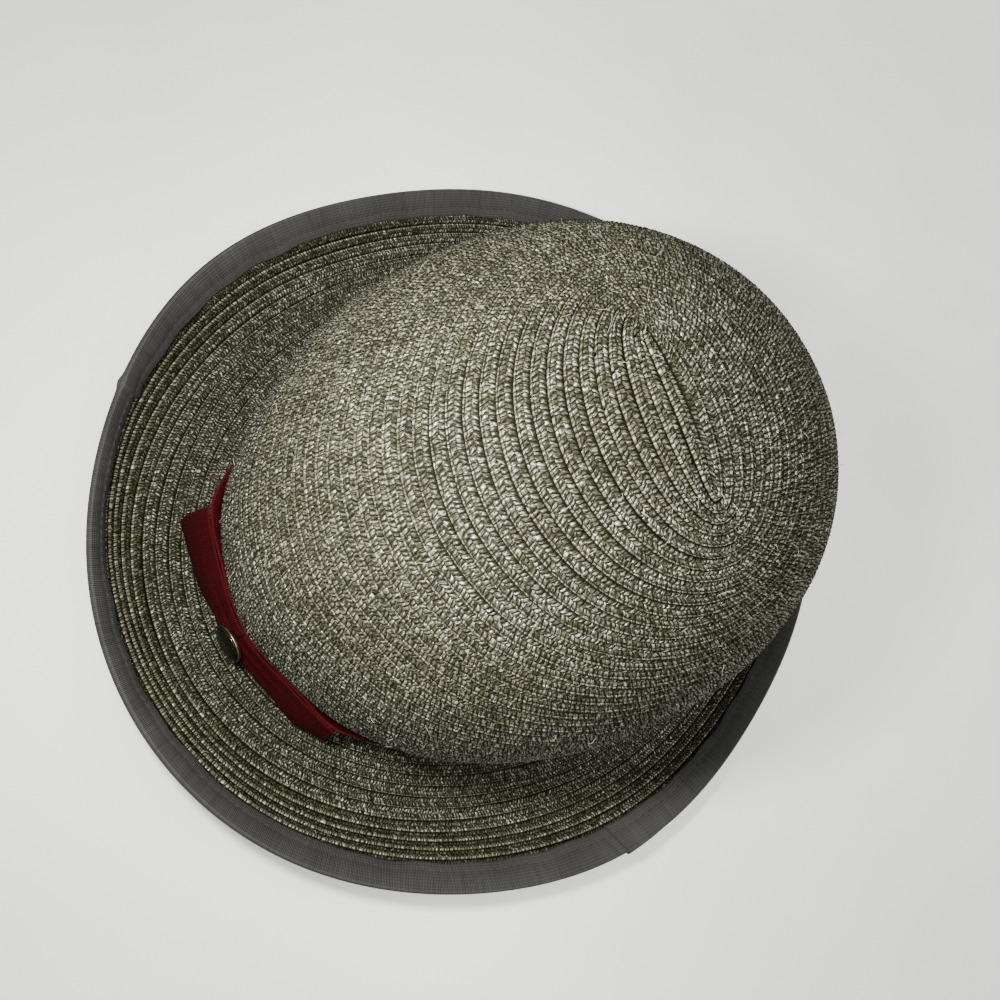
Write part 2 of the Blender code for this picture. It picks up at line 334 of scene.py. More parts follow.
def gridFaces(rows, columns, closeRows=False, closeColumns=False, turnOver=False):
    # four-sided faces between neighbours of a grid of points, kept row after row
    i = np.arange(rows if closeRows else rows - 1)[:, None]
    j = np.arange(columns if closeColumns else columns - 1)[None, :]
    nextI, nextJ = (i + 1) % rows, (j + 1) % columns
    corners = [i * columns + j, nextI * columns + j, nextI * columns + nextJ, i * columns + nextJ]
    faces = np.stack([np.broadcast_to(c, (len(i), j.shape[1])) for c in corners], -1).reshape(-1, 4)
    return faces[:, ::-1] if turnOver else faces


def finishPiece(piece, slot, *nodes):
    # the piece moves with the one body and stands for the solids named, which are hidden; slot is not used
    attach(piece, "root")
    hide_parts(*nodes)


def braid(name, surface, finish, fromRound, toRound, lastRound, start, shape):
    # a spiral ribbon: the row grows by one with each turn, and the columns lie half a strand apart. Each
    # point stands off the surface by its line's lift, plus or minus the ridge that turns round at each column
    point, rowLevel = surface
    leanLuck, alongLuck, acrossLuck = plait["luck"]
    turns = np.arange(fromRound, toRound + 1, 1 / plait["samples"]) * 2 * np.pi
    level, flip = rowLevel(turns / (2 * np.pi), turns)
    middle = point(level, flip)
    far = np.concatenate([[0], np.cumsum(np.linalg.norm(np.diff(middle, axis=0), axis=1))])
    step = plait["strand"] / 2 * shape["coarse"]
    end = np.interp(toRound * 2 * np.pi, turns, far)
    if toRound >= lastRound:
        end = far[-1]
    across = np.array(shape["across"])
    lean = np.abs(across - plait["middle"]) * 2 * plait["lean"] * plait["strand"]
    count = int((end + 2 * lean.max()) / step)
    column = np.arange(count)[:, None] + np.zeros(len(across))
    luck = np.repeat(chance.standard_normal((count // 2 + 1, 3)), 2, 0)[:count] * shape["untidy"]
    luck = np.clip(luck, -2, 2)
    along = column * step + lean * (1 + leanLuck * luck[:, :1]) - lean.max()
    along = along + alongLuck * luck[:, 1:2] * plait["strand"]
    turn = np.interp(along, far, turns)
    ripple = stray(along + start, *plait["wanderWaves"]) * plait["wander"]
    first, last = plait["luckWithin"]
    ripple = ripple + np.where((across > first) & (across < last), acrossLuck * luck[:, 2:], 0.0)
    row = np.minimum(turn / (2 * np.pi) - 0.5 + across + ripple, lastRound)
    level, flip = rowLevel(row, turn)
    places = point(level, flip)
    square = facing(point, level, flip)
    thick = 1 + plait["thickLuck"] * chance.standard_normal((count // 2 + 1, len(across)))
    thick = np.repeat(thick, 2, 0)[:count]
    parity = np.where(np.arange(count) % 2 == 0, 1.0, -1.0)[:, None]
    lift = (np.array(shape["lift"]) + np.array(shape["ridge"]) * parity * thick) * 0.001
    lift = lift + stray(along + start, *plait["unevenWaves"]) * plait["uneven"]
    lift = lift + chance.standard_normal(lift.shape) * shape["rough"]
    side = shape["side"]
    places = places + square * (shape["base"] + side * lift)[..., None]
    faces = gridFaces(count, len(across), turnOver=side > 0)
    capped = row.ravel()[faces].min(1) >= lastRound - 1e-6
    faces = faces[~capped]
    strands = (column * shape["coarse"] / 2) + start / plait["strand"]
    uv = np.stack([strands, column * 0 + across], -1).reshape(-1, 2)
    return meshObject(name, places.reshape(-1, 3), faces, finish, uv)


class Nodes:
    # a short way to write a material's node tree
    def __init__(self, name):
        self.made = bpy.data.materials.new(name)
        self.made.use_nodes = True
        self.tree = self.made.node_tree
        self.shader = self.tree.nodes["Principled BSDF"]

    def add(self, kind, settings=None, **inputs):
        # a node with its settings; an input is named, or i and its number
        node = self.tree.nodes.new(kind)
        for key, value in (settings or {}).items():
            setattr(node, key, value)
        for key, value in inputs.items():
            self.put(node.inputs[int(key[1:]) if key[0] == "i" and key[1:].isdigit() else key], value)
        return node

    def put(self, socket, value):
        # a socket gets a link or a plain value
        if isinstance(value, bpy.types.NodeSocket):
            self.tree.links.new(value, socket)
        else:
            socket.default_value = value

    def math(self, operation, *values):
        # one sum, product or other operation of the values
        node = self.tree.nodes.new("ShaderNodeMath")
        node.operation = operation
        for socket, value in zip(node.inputs, values):
            self.put(socket, value)
        return node.outputs[0]

    def mix(self, share, first, second):
        # first times (1 - share) plus second times share
        node = self.tree.nodes.new("ShaderNodeMix")
        node.data_type = "RGBA"
        self.put(node.inputs[0], share)
        self.put(node.inputs[6], first)
        self.put(node.inputs[7], second)
        return node.outputs[2]

    def ramp(self, value, stops):
        # colour between stops, straight from one to the next
        node = self.tree.nodes.new("ShaderNodeValToRGB")
        self.put(node.inputs[0], value)
        line = node.color_ramp
        while len(line.elements) < len(stops):
            line.elements.new(0.5)
        for element, (place, colour) in zip(line.elements, stops):
            element.position = place
            element.color = (*colour, 1.0)
        return node.outputs[0]

    def range(self, value, low, high, toLow=0.0, toHigh=1.0, smooth=True):
        # low to high becomes toLow to toHigh, straight or eased at both ends
        node = self.tree.nodes.new("ShaderNodeMapRange")
        node.interpolation_type = "SMOOTHSTEP" if smooth else "LINEAR"
        for socket, number in zip(node.inputs, (value, low, high, toLow, toHigh)):
            self.put(socket, number)
        return node.outputs[0]

    def noise(self, where, scale, detail=2.0):
        # soft noise in space, from 0 to 1
        node = self.tree.nodes.new("ShaderNodeTexNoise")
        node.noise_dimensions = "3D"
        self.put(node.inputs["Vector"], where)
        node.inputs["Scale"].default_value = scale
        node.inputs["Detail"].default_value = detail
        return node.outputs["Fac"]


# The straw: dark olive strands with pale flecks, and a beaded cord along the plait's outer edge
strawLook = {
    "gap": (0.0038, 0.0040, 0.0022),    # painted shade: the colour the strands darken to between them, under the laps and between the lanes
    "stops": [(0.0, (0.0065, 0.0070, 0.0038)), (0.34, (0.019, 0.0192, 0.0108)),
              (0.58, (0.039, 0.039, 0.0235)), (0.80, (0.072, 0.071, 0.047)), (1.0, (0.170, 0.166, 0.118))],
    "tone": (0.32, 0.60, 0.05),         # weight of a strand's own luck and of its flecks, and an even lift
    "patches": (80.0, 3.0),             # scale and detail
    "patchReach": (-0.05, 0.04),
    "fibres": (3.4, 4.2, 9.0),          # along a strand, across it, and the jump from strand to strand
    "fibreDetail": 2.5,
    "flecks": (0.36, 0.66),
    "strays": 0.6,                      # strands stray from their place by up to half of this
    "strayChange": (0.7, 2.0),          # how fast that changes, along and across
    "lanes": ((0.24, 0.26), (0.64, 0.20)),      # middle and half width of the two lanes of strands
    "laneShade": (0.7, 0.25),            # painted shade at a lane's edges: full light from this height of its bulge, and the least light
    "lapShade": (0.32, 0.05),            # the same painted shade under the lap, across the plait
    "middleShade": (0.06, 0.60),         # and painted shade along the line between the lanes
    "crestLight": 0.95,
    "cord": (0.120, 0.118, 0.078),
    "cordTone": (0.30, 1.1),            # least tone, and what the flecks add
    "cordFrom": (0.84, 0.90),           # across the plait
    "cordTo": (1.0, 1.03),
    "cordShare": 0.6,
    "cordBulge": 0.9,
    "roughness": 0.37,
    "gloss": (0.40, 0.90, 0.05, 1.30),  # pale strands gleam: tones from and to, levels from and to
    "relief": 0.00040,
    "reliefShares": (0.8, 0.6),         # of the strands and of their fibres
}


def strawFinish(name, tint, dark):
    # fishbone strands in the plait's own measure: u counts strands along it, v runs across it from 0 to 1.
    # A strand's crest is 1 minus 4 times the square of the distance from its middle, a lane's bulge is 1
    # minus the square of the distance from the lane's middle, and their product lifts the strand and paints
    # shade into its colour, down to dark between the strands
    look = strawLook
    n = Nodes(name)
    uv = n.add("ShaderNodeUVMap", {"uv_map": "weave"}).outputs[0]
    parts = n.add("ShaderNodeSeparateXYZ", Vector=uv)
    u, v = parts.outputs[0], parts.outputs[1]
    place = n.add("ShaderNodeTexCoord").outputs["Object"]
    lane = n.math("GREATER_THAN", v, plait["middle"])
    slowAlong, slowAcross = [n.math("MULTIPLY", way, rate) for way, rate in zip((u, v), look["strayChange"])]
    slow = n.add("ShaderNodeCombineXYZ", i0=slowAlong, i1=slowAcross, i2=0.0).outputs[0]
    drift = n.math("MULTIPLY", n.math("SUBTRACT", n.noise(slow, 1.0, 1.0), 0.5), look["strays"])
    half = n.math("ADD", n.math("MULTIPLY_ADD", lane, 0.5, u), drift)
    strand = n.math("ROUND", half)
    within = n.math("SUBTRACT", half, strand)
    crest = n.math("SUBTRACT", 1.0, n.math("MULTIPLY", n.math("MULTIPLY", within, within), 4.0))
    number = n.add("ShaderNodeCombineXYZ", i0=strand, i1=n.math("MULTIPLY", lane, 7.3), i2=0.0).outputs[0]
    one = n.add("ShaderNodeTexWhiteNoise", {"noise_dimensions": "2D"}, Vector=number).outputs["Value"]
    # every strand is a bundle of short fibres, a few across it and a few along it
    fineParts = [n.math("MULTIPLY", way, rate) for way, rate in zip((half, v, one), look["fibres"])]
    fine = n.add("ShaderNodeCombineXYZ", i0=fineParts[0], i1=fineParts[1], i2=fineParts[2]).outputs[0]
    fibre = n.noise(fine, 1.0, look["fibreDetail"])
    fleck = n.range(fibre, *look["flecks"])
    cord = n.math("MULTIPLY", n.range(v, *look["cordFrom"]), n.range(v, *look["cordTo"], 1.0, 0.0))
    lens = n.math("MULTIPLY", cord, look["cordBulge"])
    for middle, wide in look["lanes"]:
        away = n.math("DIVIDE", n.math("SUBTRACT", v, middle), wide)
        bulge = n.math("MAXIMUM", n.math("SUBTRACT", 1.0, n.math("MULTIPLY", away, away)), 0.0)
        lens = n.math("MAXIMUM", lens, bulge)
    luckShare, fleckShare, even = look["tone"]
    patch = n.range(n.noise(place, *look["patches"]), 0.3, 0.7, *look["patchReach"], False)
    tone = n.math("ADD", n.math("MULTIPLY", one, luckShare), n.math("MULTIPLY", fleck, fleckShare))
    tone = n.math("ADD", tone, n.math("ADD", patch, even))
    colour = n.ramp(tone, look["stops"])
    least, growth = look["cordTone"]
    cordTone = n.math("ADD", least, n.math("MULTIPLY", fleck, growth))
    cordColour = n.add("ShaderNodeVectorMath", {"operation": "SCALE"}, i0=look["cord"], Scale=cordTone)
    colour = n.mix(n.math("MULTIPLY", cord, look["cordShare"]), colour, cordColour.outputs[0])
    fromMiddle = n.math("ABSOLUTE", n.math("SUBTRACT", v, plait["middle"]))
    # painted shade: the colour darkens towards the gap colour between the strands, at the lanes' edges, under
    # the lap and between the lanes
    shade = n.range(crest, 0.0, look["crestLight"], dark, 1.0)
    for value, key in ((lens, "laneShade"), (v, "lapShade"), (fromMiddle, "middleShade")):
        full, least = look[key]
        shade = n.math("MULTIPLY", shade, n.range(value, 0.0, full, least, 1.0))
    colour = n.mix(shade, (*look["gap"], 1.0), colour)
    tinted = n.add("ShaderNodeMix", {"data_type": "RGBA", "blend_type": "MULTIPLY"}, i0=1.0)
    n.put(tinted.inputs[6], colour)
    tinted.inputs[7].default_value = (*tint, 1.0)
    n.put(n.shader.inputs["Base Color"], tinted.outputs[2])
    n.shader.inputs["Roughness"].default_value = look["roughness"]
    n.put(n.shader.inputs["Specular IOR Level"], n.math("MULTIPLY", shade, n.range(tone, *look["gloss"])))
    strandShare, fibreShare = look["reliefShares"]
    ridge = n.math("MULTIPLY", n.math("MULTIPLY", crest, lens), strandShare)
    height = n.math("ADD", ridge, n.math("MULTIPLY", fibre, fibreShare))
    bump = n.add("ShaderNodeBump", Height=height, Strength=1.0, Distance=look["relief"])
    n.put(n.shader.inputs["Normal"], bump.outputs[0])
    return n.made


# dark is the least light of the painted shade between the strands
crownStraw = strawFinish("crown_straw", tint=(1.0, 1.0, 1.0), dark=0.05)
brimStraw = strawFinish("brim_straw", tint=(0.95, 0.97, 0.90), dark=0.03)
insideStraw = strawFinish("inside_straw", tint=(1.0, 1.0, 0.96), dark=0.10)

# The plait's outer face, and its plainer inner face: side that it faces, place in the straw's thickness,
# strands to a column, roughness in metres and how untidy its strands are
outer = {"across": plait["across"], "lift": plait["lift"], "ridge": plait["ridge"],
         "side": 1, "base": 0.0, "coarse": 1, "rough": 0.000035, "untidy": 1.0}
inner = {"across": (-0.03, 0.10, 0.55, 1.03), "lift": (-0.75, -0.08, -0.12, -0.65), "ridge": (0, 0, 0, 0),
         "side": -1, "base": -crown["wall"], "coarse": 4, "rough": 0.00001, "untidy": 0.0}


def dressCrown():
    # one spiral from the start line to the seam, kept in three meshes, and the bare braid inside
    names = ("crown_braid_top", "crown_braid_middle", "crown_braid_foot")
    surface = (crownPoint, crownRow)
    last = plait["crownRounds"]
    for name, low, high in zip(names, plait["splits"], plait["splits"][1:]):
        piece = braid(name, surface, crownStraw, low, high, last, low * plait["patternStep"], outer)
        finishPiece(piece, "crown_braid", "crown")
        print(name, len(piece.data.polygons) * 2, "triangles")
    piece = braid("crown_inside", surface, insideStraw, 0, last, last, 0.0, inner)
    finishPiece(piece, "crown_braid", "crown")
    print("crown inside", len(piece.data.polygons) * 2, "triangles")


def dressBrim():
    # one spiral from the seam to the rounds under the binding, in two meshes, and the braid's underside
    names = ("brim_braid_inner", "brim_braid_outer")
    surface = (brimPoint, brimRow)
    last = plait["brimShown"]
    for name, low, high in zip(names, plait["brimSplits"], plait["brimSplits"][1:]):
        piece = braid(name, surface, brimStraw, low, high, last, plait["brimPattern"] + low, outer)
        finishPiece(piece, "brim_braid", "brim")
        print(name, len(piece.data.polygons) * 2, "triangles")
    piece = braid("brim_underside", surface, brimStraw, 0, last, last, plait["brimPattern"], inner)
    finishPiece(piece, "brim_braid", "brim")
    print("brim underside", len(piece.data.polygons) * 2, "triangles")


dressCrown()
dressBrim()

# What both ribbons share: ribs across them, with fine threads and thicker ones between
clothLook = {
    "threadRelief": 0.25,       # of the thread across the ribs, against a rib's own
    "slubRelief": 0.8,
    "slubTone": 0.14,
    "patches": (60.0, 4.0),     # scale and detail
    "roughness": 0.72,
}


def clothFinish(name, colour, ribs, relief, wear, gloss, valleyShade):
    # ribbed ribbon: u counts ribs along it, v runs across it. Ribs and threads are sines of the two, plus
    # noise for thick threads, and the valleys between ribs and between threads get painted shade
    n = Nodes(name)
    uv = n.add("ShaderNodeUVMap", {"uv_map": "weave"}).outputs[0]
    parts = n.add("ShaderNodeSeparateXYZ", Vector=uv)
    u, v = parts.outputs[0], parts.outputs[1]
    place = n.add("ShaderNodeTexCoord").outputs["Object"]
    rib = n.math("SINE", n.math("MULTIPLY", u, 2 * np.pi))
    thread = n.math("SINE", n.math("MULTIPLY", v, 2 * np.pi * ribs))
    patch = n.noise(place, *clothLook["patches"])
    slubPlace = n.add("ShaderNodeCombineXYZ", i0=u, i1=n.math("MULTIPLY", v, 2.0), i2=0.0).outputs[0]
    slub = n.noise(slubPlace, 1.0, 3.0)
    height = n.math("ADD", rib, n.math("MULTIPLY", thread, clothLook["threadRelief"]))
    height = n.math("ADD", height, n.math("MULTIPLY", slub, clothLook["slubRelief"]))
    uneven = n.range(slub, 0.3, 0.7, -clothLook["slubTone"], clothLook["slubTone"], False)
    # painted shade: darker in the valleys between the ribs and between the threads
    tone = n.math("ADD", n.range(rib, -1.0, 0.6, valleyShade, 1.05), uneven)
    tone = n.math("MULTIPLY", tone, n.range(thread, -1.0, 1.0, 0.5 + valleyShade / 2, 1.0, False))
    tone = n.math("MULTIPLY", tone, n.range(patch, 0.3, 0.7, 1 - wear, 1 + wear, False))
    shaded = n.add("ShaderNodeVectorMath", {"operation": "SCALE"}, i0=colour, Scale=tone).outputs[0]
    n.put(n.shader.inputs["Base Color"], shaded)
    n.shader.inputs["Roughness"].default_value = clothLook["roughness"]
    n.shader.inputs["Specular IOR Level"].default_value = gloss
    bump = n.add("ShaderNodeBump", Height=height, Strength=1.0, Distance=relief)
    n.put(n.shader.inputs["Normal"], bump.outputs[0])
    return n.made


def strokes(name, paths, radius, finish):
    # tubes along many short paths: a six-sided ring round each point, square to the way it runs, from the
    # cross products of that way with one direction that none of them has
    way = np.gradient(paths, axis=1)
    way = way / (np.linalg.norm(way, axis=-1, keepdims=True) + 1e-15)
    aside = np.cross(way, np.array([0.31, 0.17, 0.93]))
    aside = aside / (np.linalg.norm(aside, axis=-1, keepdims=True) + 1e-15)
    over = np.cross(way, aside)
    swing = (np.arange(6) * np.pi / 3)[:, None]
    ring = aside[:, :, None] * np.cos(swing) + over[:, :, None] * np.sin(swing)
    points = paths[:, :, None] + ring * radius[..., None, None]
    many, rings = paths.shape[:2]
    tube = gridFaces(rings, 6, closeColumns=True, turnOver=True)
    last = (rings - 1) * 6
    firstCap = np.array([[0, 1, 2, 3], [0, 3, 4, 5]])
    lastCap = last + np.array([[3, 2, 1, 0], [5, 4, 3, 0]])
    one = np.concatenate([tube, firstCap, lastCap])
    faces = (one[None] + np.arange(many)[:, None, None] * rings * 6).reshape(-1, 4)
    return meshObject(name, points.reshape(-1, 3), faces, finish)


# Grey ribbon folded over the brim's edge and stitched through it
binding = {
    "leg": 0.0088,              # from the straw's edge to the ribbon's inner edge
    "crease": 0.0008,           # half thickness at the sharp fold
    "cloth": 0.0005,
    "space": 0.0002,            # between the ribbon and the straw
    "steps": 1500,              # round the hat
    "rib": 0.00052,             # length of one rib
    # points across a leg, from its inner edge to the fold
    "reaches": (0.0, 0.05, 0.14, 0.2, 0.25, 0.29, 0.33, 0.38, 0.45, 0.6, 0.8, 1.0),
    "foldSteps": 9,
    "foldEase": 1.6,            # the legs close in as the root of the way left to the fold, times this
    "hem": 0.0001,              # the cloth's inner face ends this far inside its outer face
    "weaveWidth": 0.028,        # of the ribbon that v runs across once
    "stitches": 293,            # round the hat
    "stitchIn": 0.0033,         # from the ribbon's inner edge
    "stitchSink": 0.00028,
    "grooveHalf": 0.0007,
    "stitchShare": 0.66,        # of the step from stitch to stitch
    "stitchSlip": (0.04, 0.00010),      # along, as a share of a step, and across
    "stitchWave": (0.00010, 31),
    "stitchBow": (0.00004, 0.00022),    # the thread stands off the cloth, and its ends dive in
    "threadRadius": 0.00019,
    "threadShape": (0.5, 0.95, 1.0, 0.95, 0.5),
    "threadLuck": 0.15,
    "pucker": 0.00010,
    "puckerAt": (0.0012, 0.0015),       # from the ribbon's inner edge, and half width
    "edgeWaves": ((0.00020, 47, 0), (0.00015, 29, 1)),      # height, waves round the hat and phase
    "lumps": ((0.00016, 17, 2), (0.00012, 41, 0)),
    "kink": 52.0,               # degrees; from here the ribbon runs narrower for a while
    "kinkStep": 0.0026,
    "kinkRamp": 0.8,            # degrees
    "kinkEnd": (115, 50),       # degrees; the step is gone here, and fades over so many
    "pleat": (0.0005, 0.9),     # height and half width in degrees
    "join": 175.0,              # degrees; the ribbon's ends overlap here
    "joinLength": 7.0,
    "joinStep": 0.0007,
    "joinSlant": 0.020,         # the overlap's end runs this far round from inner edge to fold, in radians
    "joinReach": 0.10,          # radians
    "joinColumns": (-1e-6, 1e-4),       # two rows of points lie this close to the join, in radians
    "frayBack": 0.0008,         # the frayed end's threads lie this far before the join, in radians
    "frayThreads": 8,
    "frayOut": 0.00010,
}


def bindingOutline(turn, top, reach):
    # outer face of the fold, in the rim's own measure: how far to the rim's top side and up past its edge.
    # top is 1 on the top side and -1 below, reach runs 0 at the ribbon's inner edge to 1 at the fold. Off the
    # straw stand the cloth and a pucker, lumps, a pleat and the overlap; the stitches' groove sinks in
    degrees = np.degrees(turn)
    past = degrees - binding["kink"]
    gone, fade = binding["kinkEnd"]
    narrow = binding["kinkStep"] * np.clip(past / binding["kinkRamp"], 0, 1)
    narrow = narrow * np.clip((gone - degrees) / fade, 0, 1)
    inner = -binding["leg"] + np.where(top > 0, narrow, 0.0) + waves(turn, binding["edgeWaves"])
    up = inner * (1 - reach)
    fromEdge = up - inner
    dimple = 0.5 + 0.5 * np.cos(turn * binding["stitches"])
    groove = bell(fromEdge - binding["stitchIn"], binding["grooveHalf"])
    sink = groove * binding["stitchSink"] * (0.5 + 0.5 * dimple)
    puckerIn, puckerHalf = binding["puckerAt"]
    swell = binding["pucker"] * np.sin(turn * binding["stitches"]) * bell(fromEdge - puckerIn, puckerHalf)
    pleatHigh, pleatHalf = binding["pleat"]
    pleat = pleatHigh * bell(past, pleatHalf)
    lapped = degrees - binding["join"]
    over = np.where(lapped >= 0, np.clip(1 - lapped / binding["joinLength"], 0, 1), 0.0)
    legs = crown["wall"] / 2 + binding["space"] + binding["cloth"]
    together = np.sqrt(np.clip((1 - reach) * binding["foldEase"], 0, 1))
    fold = binding["crease"] + (legs - binding["crease"]) * together
    lump = waves(turn, binding["lumps"])
    side = fold - sink + swell + pleat + lump * (1 - reach) + over * binding["joinStep"]
    return side, up


def rimPoint(turn, side, up):
    # point beside the brim's edge: side is square to the rim, towards its top, from the straw's middle
    lean = rimLean(turn)
    out = around(brim["reach"], turn)
    edgeHigh = around(brim["roll"], turn) + np.cos(lean) * brim["rim"]
    side = side + crown["wall"] / 2
    out = out - np.cos(lean) * side + np.sin(lean) * up
    return brimPlan(turn, out, edgeHigh + np.sin(lean) * side + np.cos(lean) * up)


def slanted(turn, up):
    # turns near the overlap lag behind by more the lower they are under the fold
    near = bell(turn - np.radians(binding["join"]), binding["joinReach"])
    return turn + binding["joinSlant"] * near * (up / binding["leg"])


def ribsRound(line, rib):
    # ribs counted along a closed line, as many whole ones as make it round
    step = np.linalg.norm(np.diff(line, axis=0, append=line[:1]), axis=1)
    ribs = round(step.sum() / rib)
    return np.concatenate([[0], np.cumsum(step)[:-1]]) / step.sum() * ribs, ribs


def weaveOf(far, across):
    # u is the same in a whole row, v in a whole column
    return np.stack([far[:, None] + 0 * across, across + 0 * far[:, None]], -1).reshape(-1, 2)


def makeBinding():
    # one closed outline carried round the rim: the top leg, half a turn round the fold, the lower leg, and
    # back along the cloth's inner face
    turn = np.linspace(0, 2 * np.pi, binding["steps"], endpoint=False)
    join = np.radians(binding["join"])
    near = np.abs(turn - join).argmin()
    turn[near:near + 2] = join + np.array(binding["joinColumns"])
    reach = np.array(binding["reaches"])
    swing = np.linspace(0, np.pi, binding["foldSteps"])[1:-1]
    turns, reaches = np.meshgrid(turn, reach, indexing="ij")
    sideTop, upTop = bindingOutline(turns, 1, reaches)
    sideLow, upLow = bindingOutline(turns, -1, reaches[:, ::-1])
    fold = sideTop[:, -1:]
    lowFold = sideLow[:, :1]
    halfFold = np.where(np.cos(swing) > 0, fold, lowFold)
    foldSide = halfFold * np.cos(swing)
    foldUp = (fold + lowFold) / 2 * np.sin(swing)
    cloth, hem = binding["cloth"], binding["hem"]
    insideUp = np.stack([upLow[:, -1] + hem, upLow[:, 0], upTop[:, -1], upTop[:, 0] + hem], 1)
    insideLow, insideTop = cloth - sideLow, sideTop - cloth
    insideSide = np.stack([insideLow[:, -1], insideLow[:, 0], insideTop[:, -1], insideTop[:, 0]], 1)
    side = np.concatenate([sideTop, foldSide, -sideLow, insideSide], 1)
    up = np.concatenate([upTop, foldUp, upLow, insideUp], 1)
    columns = side.shape[1]
    points = rimPoint(slanted(turn[:, None], up), side, up)
    far, ribs = ribsRound(points[:, len(reach)], binding["rib"])
    steps = np.hypot(np.diff(side[0]), np.diff(up[0]))
    across = np.concatenate([[0], np.cumsum(steps)]) / binding["weaveWidth"]
    faces = gridFaces(len(turn), columns, True, True)
    uv = weaveOf(far, across)
    piece = meshObject("edge_ribbon", points.reshape(-1, 3), faces, greyRibbon, uv, (), (columns, ribs))
    finishPiece(piece, "grey_ribbon", "edge_binding")
    print("edge ribbon", len(faces) * 2, "triangles")


def makeStitches():
    # a short thread in every dimple of the ribbon, on its top side and under it, dark for painted shade
    # where the stitch sinks in: it stands off the cloth by a little, less the fourth power of the distance
    # from its middle
    many = binding["stitches"]
    step = 2 * np.pi / many
    middle = np.arange(many) * step
    half = np.linspace(-0.5, 0.5, len(binding["threadShape"]))
    run = half * step * binding["stitchShare"]
    slipAlong, slipAcross = binding["stitchSlip"]
    waveHigh, waveCount = binding["stitchWave"]
    proud, dive = binding["stitchBow"]
    paths = []
    for top in (1, -1):
        slip = chance.normal(0, slipAlong * step, (many, 1))
        turn = np.mod(middle[:, None] + run[None, :] + slip, 2 * np.pi)
        across = chance.normal(0, slipAcross, (many, 1)) + waveHigh * np.sin(turn * waveCount)
        share = (binding["stitchIn"] + across) / binding["leg"]
        side, up = bindingOutline(turn, top, share + 0 * turn)
        bow = proud - dive * (2 * half) ** 4
        paths.append(rimPoint(slanted(turn, up), top * (side + bow), up))
    # the frayed end of the ribbon where it laps over itself: threads in line from inner edge to fold
    ends = np.linspace(0, 1, binding["frayThreads"] + 1)
    share = ends[:-1, None] + np.diff(ends)[:, None] * np.linspace(0, 1, len(half))
    turn = 0 * share + np.radians(binding["join"]) - binding["frayBack"]
    side, up = bindingOutline(turn, 1, share)
    paths.append(rimPoint(slanted(turn, up), side + binding["frayOut"], up))
    paths = np.concatenate(paths)
    luck = 1 + binding["threadLuck"] * chance.standard_normal((len(paths), 1))
    radius = np.array(binding["threadShape"]) * binding["threadRadius"] * luck
    piece = strokes("binding_stitches", paths, radius, stitchThreadAndShade)
    finishPiece(piece, "grey_ribbon", "edge_binding")
    print("stitches", len(piece.data.polygons) * 2, "triangles")


# Red ribbon round the foot of the crown
band = {
    "out": 0.0013,              # from the crown's wall to the ribbon's outer face
    "cloth": 0.0010,
    "foot": 0.0090,
    "top": 0.0303,
    "rib": 0.00060,
    "edgeRound": 0.00025,
    "steps": 1100,
    "shares": (0, 0.02, 0.12, 0.3, 0.5, 0.7, 0.88, 0.98, 1.0),      # down from the upper edge
    "edgeWaves": ((0.00022, 23, 0), (0.00016, 37, 1)),
    "bulge": (0.00014, 31, 5),  # height, waves round the hat, and how far they slant
    "footHold": 0.8,            # so much of the looseness is gone at the foot
    # the upper edge stands off the crown beside the bow: at these degrees, by so many millimetres
    "looseAt": (50, 66, 67.5, 74, 81, 88, 95, 102, 109, 116, 123, 124, 133),
    "loose": (0, 3.5, 3.3, 1.44, 0.48, 0.24, 0, 0.24, 0.48, 0.96, 2.4, 2.3, 0),
}


def besideCrown(turn, out, height):
    # point beside the crown's wall, which draws in towards the seam
    below = crown["foot"] - np.minimum(height, crown["foot"])
    draw = crown["pinch"] * below / (crown["foot"] - crown["seam"]) + pressed(turn, height)
    x = (crown["halfWidth"] - draw + out) * np.cos(turn)
    y = (crown["halfLength"] - draw + out) * np.sin(turn) + crown["back"]
    return np.stack([x, y, height + 0 * x], -1)


def ribbonLoop(out, height, cloth, soft):
    # closed outline of a ribbon's section from its outer face: rounded edges, then back along the inner face
    first, last = out[..., :1], out[..., -1:]
    top, foot = height[..., :1], height[..., -1:]
    outs = [first - cloth / 2, first - soft / 3, out[..., 1:-1], last - soft / 3, last - cloth / 2,
            last - cloth, first - cloth]
    highs = [top, top - soft / 2, height[..., 1:-1], foot + soft / 2, foot, foot + soft, top - soft]
    return np.concatenate(outs, -1), np.concatenate(highs, -1)


def makeBand():
    # the ribbon's section carried round the crown's wall; its edges wave, its face bulges in slanting
    # waves, and it stands off the crown where the table of loose places says
    turn = np.linspace(0, 2 * np.pi, band["steps"], endpoint=False)[:, None]
    share = np.array(band["shares"])[None]
    height = band["top"] + (band["foot"] - band["top"]) * share
    height = height + waves(turn, band["edgeWaves"]) * (0.5 - share)
    bulge, count, slant = band["bulge"]
    out = band["out"] + bulge * np.sin(turn * count + share * slant)
    loose = np.interp(np.degrees(turn), band["looseAt"], band["loose"]) * 0.001
    out = out + loose * (1 - band["footHold"] * share)
    outs, highs = ribbonLoop(out, height, band["cloth"], band["edgeRound"])
    points = besideCrown(turn, outs, highs)
    columns = points.shape[1]
    far, ribs = ribsRound(points[:, 4], band["rib"])
    uv = weaveOf(far, (highs[0] - band["foot"]) / (band["top"] - band["foot"]))
    faces = gridFaces(len(far), columns, True, True)
    piece = meshObject("band_ribbon", points.reshape(-1, 3), faces, redRibbon, uv, (), (columns, ribs))
    finishPiece(piece, "red_ribbon", "hat_band")
    print("band", len(faces) * 2, "triangles")


